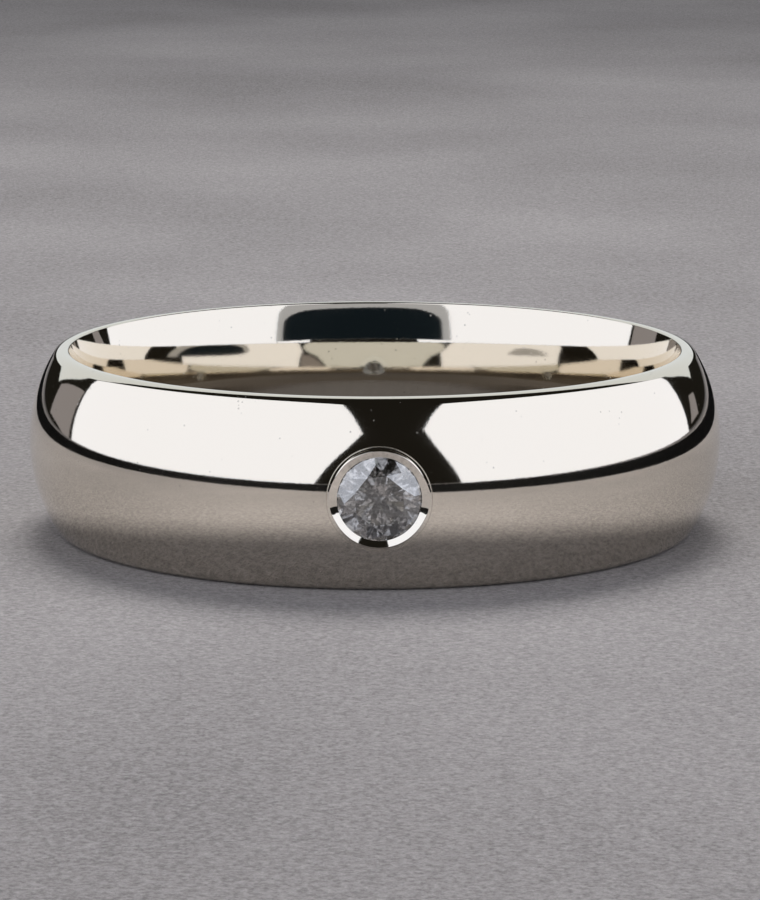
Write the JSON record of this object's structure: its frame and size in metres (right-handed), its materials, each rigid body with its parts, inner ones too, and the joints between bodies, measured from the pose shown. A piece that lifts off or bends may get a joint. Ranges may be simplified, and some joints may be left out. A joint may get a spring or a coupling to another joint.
{
  "type": "wedding band",
  "caption": "Court-section wedding band with a comfort-curved finger hole and a small round brilliant in a rub-over collet that is dressed flush with the dome.",
  "frame": {"origin": "centre of the finger hole at mid-width", "axes": "+Z along the finger axis, across the band's width; the stone faces -Y"},
  "size_m": [0.0228, 0.0229, 0.006],
  "materials": {
    "white_gold_band": "polished",
    "white_gold_collet": "polished",
    "white_gold_solder": "satin",
    "diamond": "polished"
  },
  "bodies": {
    "root": {"band": "white_gold_band", "setting_collet": "white_gold_collet", "solder_seam": "white_gold_solder", "diamond": "diamond"}
  },
  "joints": []
}
